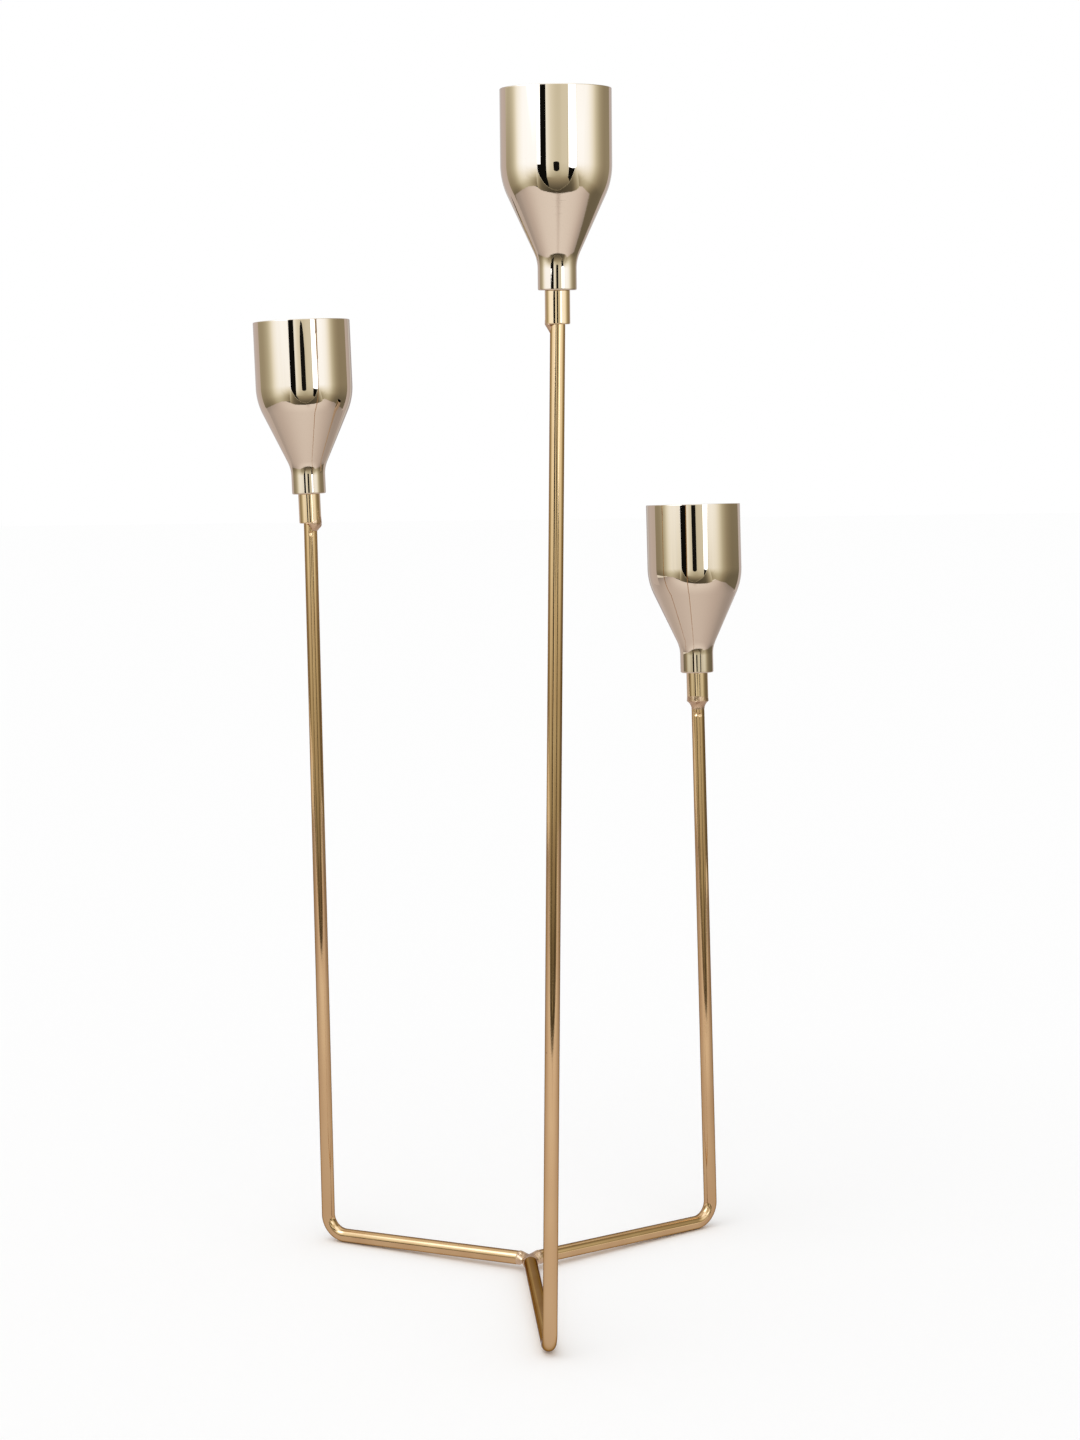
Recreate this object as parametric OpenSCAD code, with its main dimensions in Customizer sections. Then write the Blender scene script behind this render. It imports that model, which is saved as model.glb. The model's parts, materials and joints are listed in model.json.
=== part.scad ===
// Candle stand: three bent bars welded at a hub, each carrying a screwed-on candle cup.
// Millimetres. +Z is up. The origin is on the floor, below the middle of the hub.
// The near foot runs along -Y, the other two feet stand 120 degrees to each side of it.

/* [Bars] */
// Diameter of the round bar that the arms are bent from
bar_d = 6; // [5:0.5:7]
// Radius of the bend between foot and upright, to the middle of the bar
bend_r = 9; // [7:0.5:14]
// Length of each foot, from the middle of the hub to the middle of its upright
foot_len = 103; // [70:1:150]
// Height that the feet climb from their bends to the hub
hub_rise = 2.2; // [0:0.1:6]
// Distance from the middle of the hub to the sawn end of each bar
hub_gap = 4.6; // [3:0.2:7]

/* [Uprights] */
// Length of the near upright, from the middle of its foot to the bottom of its collar
near_upright = 413.3; // [250:0.1:600]
// Length of the left upright, measured the same way
left_upright = 329.2; // [200:0.1:500]
// Length of the right upright, measured the same way
right_upright = 243.2; // [150:0.1:400]
// Angle that the near upright leans outwards
near_out_lean = 0.77; // [-3:0.01:3]
// Angle that the near upright leans to its side
near_side_lean = -0.86; // [-3:0.01:3]
// Angle that the left upright leans outwards
left_out_lean = 0.54; // [-3:0.01:3]
// Angle that the left upright leans to its side
left_side_lean = -0.6; // [-3:0.01:3]
// Angle that the right upright leans outwards
right_out_lean = 0.5; // [-3:0.01:3]
// Angle that the right upright leans to its side
right_side_lean = -2.33; // [-3:0.01:3]

/* [Collars] */
// Outer diameter of the collars
collar_d = 10; // [9:0.1:13]
// Length of the collars
collar_len = 13.4; // [11:0.1:20]
// Depth of the socket that takes the end of the bar
socket_depth = 4; // [3:0.1:6]
// Rounding of the bottom edge of the collars
collar_edge = 0.5; // [0.2:0.1:0.8]

/* [Cups] */
// Outer diameter of the cups
cup_d = 44; // [36:0.5:60]
// Thickness of the cup's sheet
cup_wall = 1; // [0.8:0.1:1.5]
// Height of the straight wall, down to where it would meet the cone in a sharp corner
wall_h = 36; // [25:0.5:60]
// Height of the cone between its two sharp corners
cone_h = 31; // [22:0.5:45]
// Radius of the rounded shoulder between straight wall and cone
shoulder_r = 29; // [15:0.5:40]
// Radius of the hollow curve between cone and neck
throat_r = 15; // [8:0.5:20]
// Height of the neck, up to where it would meet the cone in a sharp corner
neck_h = 11.8; // [10:0.1:18]
// Outer diameter of the neck
neck_d = 15.4; // [14.5:0.1:18]
// Rounding of the bottom edge of the neck
neck_edge = 0.6; // [0.3:0.1:1]
// Angle that the near cup tips forwards on its upright
near_cup_tip = 1.6; // [-3:0.01:3]
// Angle that the near cup tips to its side
near_cup_side = 1.1; // [-3:0.01:3]
// Angle that the left cup tips outwards on its upright
left_cup_tip = 1.33; // [-3:0.01:3]

/* [Fastening] */
// Diameter of the stud that holds each cup
stud_d = 5; // [4:0.5:5.5]
// Height of the stud above the top of the collar
stud_above = 6; // [5:0.1:8]
// Width of the neck nut across its flats
nut_flats = 8; // [7.5:0.1:10]
// Height of the neck nut
nut_h = 4; // [3:0.1:5]

/* [Welds] */
// Height of the tack below the near collar
near_weld_h = 3.4; // [2:0.1:6]
// Height of the lump below the left collar
left_weld_h = 3.8; // [2:0.1:6]
// Height of the funnel below the right collar
right_weld_h = 4.2; // [2:0.1:6]
// Height that a tack or a lump creeps up the side of its collar
weld_creep = 2.2; // [1:0.1:4]
// Length that the hub weld laps over the bars' ends
hub_weld_lap = 1.6; // [0.5:0.1:3]

/* [Clearances] */
// Gap round the stud in the collar and in the nut
thread_gap = 0.05; // [0.03:0.01:0.1]
// Gap round the stud in the floor of the neck
floor_gap = 0.4; // [0.3:0.05:0.6]
// Gap round the bar in its socket
socket_gap = 0.15; // [0.12:0.01:0.3]

/* [Hidden] */
$fn = 96;

BRASS = [0.78, 0.62, 0.38];
CHAMPAGNE = [0.85, 0.80, 0.66];
WELD = [0.74, 0.56, 0.42];
STEEL = [0.72, 0.72, 0.70];

bar_r = bar_d / 2;
collar_r = collar_d / 2;
cup_r = cup_d / 2;
neck_r = neck_d / 2;
stud_r = stud_d / 2;
tapped_r = stud_r + thread_gap;
socket_r = bar_r + socket_gap;
foot_slope = atan(hub_rise / foot_len);
cup_h = wall_h + cone_h + neck_h;
cone_angle = atan2(cup_r - neck_r, cone_h);
throat_z = neck_h - throat_r * tan(cone_angle / 2);
shoulder_z = neck_h + cone_h + shoulder_r * tan(cone_angle / 2);
arc_steps = 12;
edge_steps = 4;
// The bend is a hair thicker than the straight stretches, which run a short way into it
bend_swell = 0.03;
bend_lap = 0.3;
chamfer = 0.4;
stud_seat = collar_len - socket_depth - chamfer;
bar_in_socket = socket_depth - chamfer;

// Each arm: direction of the foot, length and two leans of the upright, two tips of the cup
NEAR = [-90, near_upright, near_out_lean, near_side_lean, near_cup_tip, near_cup_side];
LEFT = [150, left_upright, left_out_lean, left_side_lean, left_cup_tip, 0];
RIGHT = [30, right_upright, right_out_lean, right_side_lean, 0, 0];

function azimuth(arm) = arm[0];
function upright(arm) = arm[1];
function out_lean(arm) = arm[2];
function side_lean(arm) = arm[3];
function cup_tip(arm) = arm[4];
function cup_side(arm) = arm[5];

// The bend turns the bar from the sloping foot into the leaning upright
function turn(arm) = 90 - out_lean(arm) + foot_slope;
function tangent(arm) = bend_r * tan(turn(arm) / 2);
function bend_x(arm) = foot_len - tangent(arm) * cos(foot_slope) + bend_r * sin(foot_slope);
function bend_z(arm) = tangent(arm) * sin(foot_slope) + bend_r * cos(foot_slope);
// Height of the foot's line at the upright, with the underside of the bend on the floor
function foot_z(arm) = bar_r + bend_swell - (bend_z(arm) - bend_r);
hub_z = foot_z(NEAR) + hub_rise;

// Places a child in an arm's own frame: +X along the foot, +Z up
module in_arm(arm)
    translate([0, 0, foot_z(arm)])
        rotate([side_lean(arm), 0, azimuth(arm)])
            children();

// Places a child on the upright's line: the foot's line is at 0
module on_upright(arm)
    in_arm(arm)
        translate([foot_len, 0, 0])
            rotate([0, out_lean(arm), 0])
                children();

// Places a child on the head's line: the bottom of the collar is at 0
module on_head(arm)
    on_upright(arm)
        translate([0, 0, upright(arm)])
            rotate([0, cup_tip(arm), 0])
                rotate([cup_side(arm), 0, 0])
                    children();

// Places a child on the seat, where the cup stands on its collar
module on_seat(arm)
    on_head(arm)
        translate([0, 0, collar_len])
            children();

// The straight stretch of bar from the hub to the bend
module foot_bar(arm)
    in_arm(arm)
        translate([foot_len, 0, 0])
            rotate([0, foot_slope - 90, 0])
                translate([0, 0, tangent(arm) - bend_lap])
                    cylinder(r = bar_r, h = foot_len / cos(foot_slope) - hub_gap - tangent(arm) + bend_lap);

// The straight stretch of bar from the bend into the collar's socket
module upright_bar(arm)
    on_upright(arm)
        translate([0, 0, tangent(arm) - bend_lap])
            cylinder(r = bar_r, h = upright(arm) + bar_in_socket - tangent(arm) + bend_lap);

module bend(arm)
    in_arm(arm)
        translate([bend_x(arm), 0, bend_z(arm)])
            rotate([90, 0, 0])
                rotate([0, 0, -90 - foot_slope])
                    rotate_extrude(angle = turn(arm))
                        translate([bend_r, 0])
                            circle(r = bar_r + bend_swell);

module bar(arm)
    color(BRASS)
        union() {
            foot_bar(arm);
            bend(arm);
            upright_bar(arm);
        }

// Weld metal fills the space between the sawn ends and laps over them
module hub_weld()
    color(WELD)
        difference() {
            translate([0, 0, hub_z])
                rotate_extrude()
                    polygon([for (i = [0 : arc_steps])
                        let (t = -90 + 180 * i / arc_steps)
                            [(hub_gap + hub_weld_lap) * cos(t), (bar_r - chamfer / 2) * sin(t)]]);
            foot_bar(NEAR);
            foot_bar(LEFT);
            foot_bar(RIGHT);
        }

// Round coupling: socket for the bar below, tapped hole for the stud above
module collar(arm)
    color(BRASS)
        on_head(arm)
            rotate_extrude()
                polygon(concat(
                    [[socket_r, 0]],
                    [for (i = [0 : edge_steps])
                        let (t = -90 + 90 * i / edge_steps)
                            [collar_r - collar_edge * (1 - cos(t)), collar_edge * (1 + sin(t))]],
                    [[collar_r, collar_len], [tapped_r, collar_len],
                     [tapped_r, socket_depth], [socket_r, socket_depth]]));

// Fillet in the corner below a collar, from angle "from" through angle "arc".
// It runs down the bar by "leg", and creeps up the collar's side by "creep".
module collar_weld(arm, leg, from, arc, creep)
    color(WELD)
        difference() {
            on_head(arm)
                rotate([0, 0, from])
                    rotate_extrude(angle = arc)
                        polygon(concat(
                            [[bar_r / 2, -leg]],
                            [for (i = [0 : edge_steps])
                                let (t = 90 * i / edge_steps)
                                    [bar_r + chamfer + (collar_r - bar_r) * (1 - cos(t)),
                                     -leg + leg * sin(t)]],
                            creep > 0
                                ? [[collar_r + chamfer, creep / 2], [collar_r, creep], [collar_r, 0]]
                                : [[collar_r, 0]],
                            [[bar_r / 2, 0]]));
            upright_bar(arm);
            collar_blank(arm);
        }

// The collar's outer shape, without its holes
module collar_blank(arm)
    on_head(arm)
        rotate_extrude()
            polygon(concat(
                [[0, 0]],
                [for (i = [0 : edge_steps])
                    let (t = -90 + 90 * i / edge_steps)
                        [collar_r - collar_edge * (1 - cos(t)), collar_edge * (1 + sin(t))]],
                [[collar_r, collar_len], [0, collar_len]]));

module stud(arm)
    color(STEEL)
        on_seat(arm)
            rotate_extrude()
                polygon([[0, -stud_seat], [stud_r - chamfer, -stud_seat],
                         [stud_r, chamfer - stud_seat], [stud_r, stud_above - chamfer],
                         [stud_r - chamfer, stud_above], [0, stud_above]]);

// Six-sided nut on the neck's floor
module nut(arm)
    color(STEEL)
        on_seat(arm)
            translate([0, 0, cup_wall])
                difference() {
                    cylinder(d = nut_flats / cos(30), h = nut_h, $fn = 6);
                    translate([0, 0, -1])
                        cylinder(r = tapped_r, h = nut_h + 2);
                }

// One spun shell: floor, neck, throat, cone, shoulder and straight wall, all of one thickness
module cup(arm)
    color(CHAMPAGNE)
        on_seat(arm)
            rotate_extrude()
                polygon(concat(
                    [[stud_r + floor_gap, 0]],
                    [for (i = [0 : edge_steps])
                        let (t = -90 + 90 * i / edge_steps)
                            [neck_r - neck_edge * (1 - cos(t)), neck_edge * (1 + sin(t))]],
                    [for (i = [0 : arc_steps])
                        let (t = cone_angle * i / arc_steps)
                            [neck_r + throat_r * (1 - cos(t)), throat_z + throat_r * sin(t)]],
                    [for (i = [arc_steps : -1 : 0])
                        let (t = cone_angle * i / arc_steps)
                            [cup_r - shoulder_r * (1 - cos(t)), shoulder_z - shoulder_r * sin(t)]],
                    [[cup_r, cup_h], [cup_r - cup_wall, cup_h]],
                    [for (i = [0 : arc_steps])
                        let (t = cone_angle * i / arc_steps, r = shoulder_r - cup_wall)
                            [cup_r - shoulder_r + r * cos(t), shoulder_z - r * sin(t)]],
                    [for (i = [arc_steps : -1 : 0])
                        let (t = cone_angle * i / arc_steps, r = throat_r + cup_wall)
                            [neck_r + throat_r - r * cos(t), throat_z + r * sin(t)]],
                    [[neck_r - cup_wall, cup_wall], [stud_r + floor_gap, cup_wall]]));

bar(NEAR);  // near_bar
bar(LEFT);  // left_bar
bar(RIGHT);  // right_bar
hub_weld();
collar(NEAR);  // near_collar
collar(LEFT);  // left_collar
collar(RIGHT);  // right_collar
collar_weld(NEAR, near_weld_h, 205, 130, weld_creep);  // near_weld
collar_weld(LEFT, left_weld_h, 60, 190, weld_creep);  // left_weld
collar_weld(RIGHT, right_weld_h, 0, 360, 0);  // right_weld
stud(NEAR);  // near_stud
stud(LEFT);  // left_stud
stud(RIGHT);  // right_stud
nut(NEAR);  // near_nut
nut(LEFT);  // left_nut
nut(RIGHT);  // right_nut
cup(NEAR);  // near_cup
cup(LEFT);  // left_cup
cup(RIGHT);  // right_cup
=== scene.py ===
# %% [markdown]
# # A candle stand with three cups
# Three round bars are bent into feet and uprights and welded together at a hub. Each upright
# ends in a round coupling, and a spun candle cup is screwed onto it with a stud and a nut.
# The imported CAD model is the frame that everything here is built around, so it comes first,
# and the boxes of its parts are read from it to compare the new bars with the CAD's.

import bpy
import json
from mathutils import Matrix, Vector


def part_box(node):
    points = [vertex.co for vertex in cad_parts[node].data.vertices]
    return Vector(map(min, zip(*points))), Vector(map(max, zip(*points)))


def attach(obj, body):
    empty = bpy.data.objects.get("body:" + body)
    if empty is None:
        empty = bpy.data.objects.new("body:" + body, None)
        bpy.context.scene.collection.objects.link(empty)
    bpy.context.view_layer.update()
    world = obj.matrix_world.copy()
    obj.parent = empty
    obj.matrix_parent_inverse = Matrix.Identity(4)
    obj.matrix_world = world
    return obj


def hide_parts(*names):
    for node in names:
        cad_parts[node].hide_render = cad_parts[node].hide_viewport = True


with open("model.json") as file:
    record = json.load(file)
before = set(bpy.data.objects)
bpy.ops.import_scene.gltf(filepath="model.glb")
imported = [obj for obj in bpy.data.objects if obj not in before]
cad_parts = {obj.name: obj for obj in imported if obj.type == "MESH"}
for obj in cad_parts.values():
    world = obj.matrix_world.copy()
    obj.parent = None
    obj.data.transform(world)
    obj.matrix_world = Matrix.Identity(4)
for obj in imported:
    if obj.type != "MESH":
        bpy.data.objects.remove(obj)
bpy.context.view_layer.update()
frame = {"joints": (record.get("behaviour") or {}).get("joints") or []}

# %% [markdown]
# ## The three arms
# Each arm lies in its own upright plane. A sketch in that plane, turned to the arm's place, is
# simpler than points in space, so every piece is drawn in the frame of its own arm and then
# moved by one matrix. The lengths and small leans are the ones that the CAD model uses, and the
# joint of each cup says whether the matrices land on the same seats.

# %% Lines of the arms
import json
import math

import bpy
from mathutils import Matrix, Vector, noise

MM = 0.001
# Sizes that the CAD model uses: bar and bend, foot and hub, coupling and its socket
BAR_R = 3 * MM
BEND_R = 9 * MM
BEND_SWELL = 0.03 * MM
FOOT = 103 * MM
HUB_RISE = 2.2 * MM
HUB_GAP = 4.6 * MM
COLLAR_R = 5 * MM
COLLAR_H = 13.4 * MM
SOCKET_H = 4 * MM
SLOPE = math.atan2(HUB_RISE, FOOT)

# Azimuth, upright length, outward and sideways lean, then the two tips of the cup, in degrees
ARMS = {
    "near": (-90, 413.3 * MM, 0.77, -0.86, 1.6, 1.1),
    "left": (150, 329.2 * MM, 0.54, -0.6, 1.33, 0),
    "right": (30, 243.2 * MM, 0.5, -2.33, 0, 0),
}


def spin(degrees, axis):
    return Matrix.Rotation(math.radians(degrees), 4, axis)


class Arm:
    """The frames of one arm: its plane, the line of its upright and the line of its head."""

    def __init__(self, name):
        azimuth, self.length, out, side, tip, tip_side = ARMS[name]
        self.name = name
        self.turn = math.radians(90 - out) + SLOPE
        self.tangent = BEND_R * math.tan(self.turn / 2)
        bend_z = self.tangent * math.sin(SLOPE) + BEND_R * math.cos(SLOPE)
        self.bend_x = FOOT - self.tangent * math.cos(SLOPE) + BEND_R * math.sin(SLOPE)
        self.bend_z = bend_z
        self.foot_z = BAR_R + BEND_SWELL - (bend_z - BEND_R)
        lift = Matrix.Translation((0, 0, self.foot_z))
        self.plane = lift @ spin(azimuth, "Z") @ spin(side, "X")
        self.upright = self.plane @ Matrix.Translation((FOOT, 0, 0)) @ spin(out, "Y")
        top = self.upright @ Matrix.Translation((0, 0, self.length))
        self.head = top @ spin(tip, "Y") @ spin(tip_side, "X")
        self.seat = self.head @ Matrix.Translation((0, 0, COLLAR_H))


arms = {name: Arm(name) for name in ARMS}
turns = {joint["name"]: joint for joint in frame["joints"]}
for name, arm in arms.items():
    seat = Vector(turns[name + "_cup_turn"]["pos_m"])
    miss = (arm.seat.translation - seat).length
    print(name, "seat is", round(1e6 * miss, 1), "micrometres from its joint")

# %% [markdown]
# ## The camera
# The stand was photographed from about a metre away, a little below the tops of the cups, so
# the tall cup shows a curved lip and the feet open into a flat triangle. The camera stands at
# that place. It looks almost level and sees more below its axis than above it, which is a
# shift of the lens, not a tilt, so the uprights stay parallel.

# %% Stand the camera where the photograph was taken
YAW = math.radians(4.75)
PITCH = math.radians(2.2)
ROLL = math.radians(0.51)
EYE = Vector((-0.08217, -1.07992, 0.37959))
LENS_LENGTH = 61.59
LENS_SHIFT = -0.14482

look = Vector((math.sin(YAW) * math.cos(PITCH), math.cos(YAW) * math.cos(PITCH), -math.sin(PITCH)))
level = Vector((math.cos(YAW), -math.sin(YAW), 0))
rise = level.cross(look)
up = rise * math.cos(ROLL) + level * math.sin(ROLL)
right = level * math.cos(ROLL) - rise * math.sin(ROLL)
lens = bpy.data.cameras.new("camera")
lens.lens = LENS_LENGTH
lens.sensor_width = 36
lens.shift_y = LENS_SHIFT
lens.clip_start = 0.01
lens.clip_end = 60
camera = bpy.data.objects.new("camera", lens)
camera.matrix_world = Matrix.Translation(EYE) @ Matrix((right, up, -look)).transposed().to_4x4()
bpy.context.scene.collection.objects.link(camera)
bpy.context.scene.camera = camera
bpy.context.scene.view_settings.view_transform = "Standard"
print("camera is", round((EYE - Vector((0, 0, EYE.z))).length, 3), "m from the hub's axis")

# %% [markdown]
# ## Floor and room light
# Polished metal has no look of its own: it shows the room. A plain white floor and an even
# white room keep the object's colours as they are written, and one wide lamp overhead gives
# the feet a soft shadow to stand in. The room is white to the camera, to reflections and
# to light that passes through, and a little less bright for the floor's own shading.


# %% Helpers for nodes and meshes, and the floor
def link(out_socket, in_socket):
    out_socket.id_data.links.new(out_socket, in_socket)


def dial(made, **values):
    """Sets sockets of a node. An underscore stands for the space in a socket's name."""
    for name, value in values.items():
        made.inputs[name.replace("_", " ")].default_value = value
    return made


def new_material(name):
    material = bpy.data.materials.new(name)
    material.use_nodes = True
    nodes = material.node_tree.nodes
    return material, material.node_tree, nodes["Principled BSDF"]


def new_object(name, points, faces, material):
    mesh = bpy.data.meshes.new(name)
    mesh.from_pydata([tuple(p) for p in points], [], faces)
    mesh.materials.append(material)
    mesh.update()
    made = bpy.data.objects.new(name, mesh)
    bpy.context.scene.collection.objects.link(made)
    return made


FLOOR_WHITE = (0.975, 0.975, 0.975, 1)
FLOOR_HALF = 8.0
paper, paper_tree, paper_shader = new_material("floor_paper")
dial(paper_shader, Base_Color=FLOOR_WHITE, Roughness=0.9, Specular_IOR_Level=0.0)
floor_corners = [(-1, -1), (1, -1), (1, 1), (-1, 1)]
floor_points = [(FLOOR_HALF * x, FLOOR_HALF * y, 0) for x, y in floor_corners]
floor = new_object("floor", floor_points, [(0, 1, 2, 3)], paper)
print("floor is", 2 * FLOOR_HALF, "m square")

# %% Room and overhead lamp
ROOM_SHADE = 0.8
world = bpy.data.worlds.new("room")
world.use_nodes = True
bpy.context.scene.world = world
room = world.node_tree
path = room.nodes.new("ShaderNodeLightPath")
seen = path.outputs["Is Camera Ray"]
for ray in ("Is Glossy Ray", "Is Transmission Ray"):
    either = room.nodes.new("ShaderNodeMath")
    either.operation = "MAXIMUM"
    link(seen, either.inputs[0])
    link(path.outputs[ray], either.inputs[1])
    seen = either.outputs[0]
level_out = dial(room.nodes.new("ShaderNodeMapRange"), To_Min=ROOM_SHADE, To_Max=1.0)
link(seen, level_out.inputs["Value"])
sky = dial(room.nodes["Background"], Color=(1, 1, 1, 1))
link(level_out.outputs["Result"], sky.inputs["Strength"])

LAMP_SPREAD = math.radians(50)
LAMP_POWER = 0.72
LAMP_WAY = Vector((0.25, 0.3, -1))
lamp = bpy.data.lights.new("overhead_lamp", "SUN")
lamp.angle = LAMP_SPREAD
lamp.energy = LAMP_POWER
overhead = bpy.data.objects.new("overhead_lamp", lamp)
overhead.rotation_euler = LAMP_WAY.to_track_quat("-Z", "Y").to_euler()
overhead.visible_glossy = False
bpy.context.scene.collection.objects.link(overhead)
print("room shade", ROOM_SHADE, "and overhead lamp", LAMP_POWER, "W per square metre")

# %% [markdown]
# ## The light tent
# The bands in the cups are the walls of a light tent: two bright cloth sides that darken
# towards the back, a cloth flap behind the camera, the dark gaps on each side of the flap with
# a lamp shining through, and the sheet on the table. They could be painted on the metal, but
# then they wouldn't move with the view. Here each one is a card that stands where the real one
# stood. The cards glow in reflections only, so they light nothing else and hide nothing.


# %% A card that shows in reflections only
glow = bpy.data.materials.new("card_glow")
glow.use_nodes = True
glow_tree = glow.node_tree
glow_tree.nodes.clear()
glow_colour = glow_tree.nodes.new("ShaderNodeAttribute")
glow_colour.attribute_name = "glow"
glow_light = glow_tree.nodes.new("ShaderNodeEmission")
glow_out = glow_tree.nodes.new("ShaderNodeOutputMaterial")
link(glow_colour.outputs["Color"], glow_light.inputs["Color"])
link(glow_light.outputs["Emission"], glow_out.inputs["Surface"])

# Tints from a dim to a bright cloth, and the paper of the table
CLOTH_TINTS = [(0.3, Vector((1.14, 1.03, 0.76))), (0.6, Vector((1.05, 1.04, 0.86))),
               (1.0, Vector((1.0, 1.03, 0.98))), (1.7, Vector((0.85, 0.97, 1.2)))]
PAPER = Vector((1.05, 0.96, 0.99))
PAPER_TINTS = [(0.65, PAPER), (1.0, Vector((1.01, 0.99, 1.05)))]
GREY = Vector((1, 1, 1))
to_row = Matrix.Rotation(-YAW, 4, "Z")


def between(stops, x):
    """Straight lines through (place, value) stops."""
    if x <= stops[0][0]:
        return stops[0][1]
    for (x0, v0), (x1, v1) in zip(stops, stops[1:]):
        if x <= x1:
            return v0 + (v1 - v0) * (x - x0) / (x1 - x0)
    return stops[-1][1]


def steps(low, high, count):
    return [low + (high - low) * i / count for i in range(count + 1)]


def card(name, rows):
    """Rows of (x, y, z, brightness, tint), where +Y is the camera's level line of sight."""
    points, colours, faces = [], [], []
    for row in rows:
        for x, y, z, bright, tint in row:
            points.append(to_row @ Vector((x, y, z)))
            colours.extend((*((tint or between(CLOTH_TINTS, bright)) * bright), 1.0))
    across = len(rows[0])
    for i in range(len(rows) - 1):
        for j in range(across - 1):
            a = i * across + j
            faces.append((a, a + 1, a + across + 1, a + across))
    made = new_object(name, points, faces, glow)
    shade = made.data.color_attributes.new("glow", "FLOAT_COLOR", "POINT")
    shade.data.foreach_set("color", colours)
    made.visible_camera = made.visible_diffuse = made.visible_transmission = False
    made.visible_volume_scatter = made.visible_shadow = False
    return made


print("cards will glow with", glow.name)

# %% [markdown]
# ## The sheet on the table
# The cone of each cup mirrors the white sheet below it as one pale field. The sheet is
# brightest in front and dims towards the back, with a faint smudge near its middle. A single
# plane has the right place but only one tone, so the sheet is a grid, and each of its points
# carries its own light. Its front edge curves, because that edge is the line across the cone.

# %% Lay the sheet on the table
SHEET_HALF = 1.2
SHEET_BACK = 1
SHEET_Z = 0.001
SHEET_GRID = (120, 32)
TABLE_BY_DEPTH = [(-0.57, 0.99), (-0.4, 0.96), (-0.3, 0.88), (-0.2, 0.8), (-0.1, 0.74), (0, 0.71),
                  (0.1, 0.68), (0.2, 0.62), (0.4, 0.6), (0.6, 0.66), (1.0, 0.67)]
TABLE_DIMMEST = 0.5
SIDES_DIM = 0.3
RIGHT_DIM_BY_DEPTH = [(-0.3, 0), (0.1, 0.3)]
SMUDGE_BY_DEPTH = [(-0.54, 0.27), (-0.5, 0.16), (-0.44, 0.07), (-0.38, 0)]
SMUDGE_X = 0.05
SMUDGE_HALF = 0.045


def table_light(x, y):
    """Brightest in front, a little dimmer at the sides, more so behind on the right."""
    dim = SIDES_DIM * x * x + max(0.0, x) * between(RIGHT_DIM_BY_DEPTH, y)
    smudge = between(SMUDGE_BY_DEPTH, y) * math.exp(-((x - SMUDGE_X) / SMUDGE_HALF) ** 2)
    return between(TABLE_BY_DEPTH, y) * max(TABLE_DIMMEST, 1 - dim) * (1 - smudge)


TABLE_FRONT = [(-0.62, -0.61), (-0.53, -0.57), (-0.36, -0.54), (0, -0.54), (0.22, -0.524),
               (0.42, -0.486), (0.52, -0.48), (0.62, -0.5)]


def table_point(x, share):
    """Share runs from 0 at the front edge of the sheet to 1 at the back."""
    front = between(TABLE_FRONT, x)
    y = front + (SHEET_BACK - front) * share
    light = table_light(x, y)
    return x, y, SHEET_Z, light, between(PAPER_TINTS, light)


columns, rows = SHEET_GRID
sheet = card("table_sheet", [
    [table_point(x, share) for x in steps(-SHEET_HALF, SHEET_HALF, columns)]
    for share in steps(0, 1, rows)
])
print("the sheet is a grid of", len(sheet.data.vertices), "points")

# %% [markdown]
# ## The cloth sides and the paper behind
# The broad bands on the left and right of each cup are the tent's sides. The cloth is bright
# in front, where the lamps are, and dark at the back, and its lower edge hangs in a curve. A
# cloth simulation would hang it too, but a mirror shows only where it is and how bright it is.
# So a side is a grid from that edge up, with one list of lights from front to back and one
# from low to high. High above the cups the left side glows more: the left foot mirrors it as
# the white line along its top.

# %% Hang the sides and the paper
TENT_TOP = 1.3
SIDE_BY_HEIGHT = [(0.05, 0.35), (0.12, 0.37), (0.2, 0.46), (0.24, 0.57), (0.27, 0.68),
                  (0.31, 0.74), (0.37, 0.84), (0.43, 0.94), (0.5, 1.0), (1.3, 1.1)]
# Lower edges are depth and height, walls are place, depth and light
LEFT_EDGE = [(-0.6, 0.005), (-0.534, 0.03), (-0.4, 0.1), (-0.1, 0.152), (0.3, 0.188)]
LEFT_WALL = [(-0.47, -0.68, 1.7), (-0.53, -0.6, 1.7), (-0.6, -0.5, 1.72), (-0.61, -0.34, 1.68),
             (-0.61, -0.28, 1.6), (-0.61, -0.22, 1.48), (-0.61, -0.16, 1.27),
             (-0.61, -0.12, 1.07), (-0.61, -0.087, 0.91), (-0.61, -0.04, 0.74),
             (-0.61, 0, 0.63), (-0.61, 0.05, 0.55), (-0.61, 0.12, 0.47), (-0.61, 0.2, 0.44),
             (-0.61, 0.32, 0.45)]
RIGHT_EDGE = [(-0.5, 0.03), (-0.45, 0.085), (-0.2, 0.09), (0, 0.11), (0.4, 0.06), (0.64, 0.06)]
RIGHT_WALL = [(0.61, -0.79, 1.72), (0.61, -0.5, 1.68), (0.61, -0.4, 1.6), (0.61, -0.34, 1.52),
              (0.61, -0.29, 1.4), (0.61, -0.23, 1.22), (0.61, -0.177, 1.0), (0.61, -0.12, 0.76),
              (0.61, -0.056, 0.59), (0.61, 0, 0.47), (0.61, 0.05, 0.41), (0.61, 0.1, 0.37),
              (0.61, 0.18, 0.33), (0.61, 0.62, 0.32)]
SIDE_ROWS = 16
SIDE_DIMMEST = 0.17
# What is left of the light at the low edge, by depth, and the height where all of it is there
FRONT_LOW = [(-0.68, 0.3), (-0.6, 0.5), (-0.5, 0.75), (-0.3, 1)]
LOW_Z = 0.1
FULL_Z = 0.38
# Above the cups the light changes between these heights
HIGH_FROM = 0.59
HIGH_TO = 0.66


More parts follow.
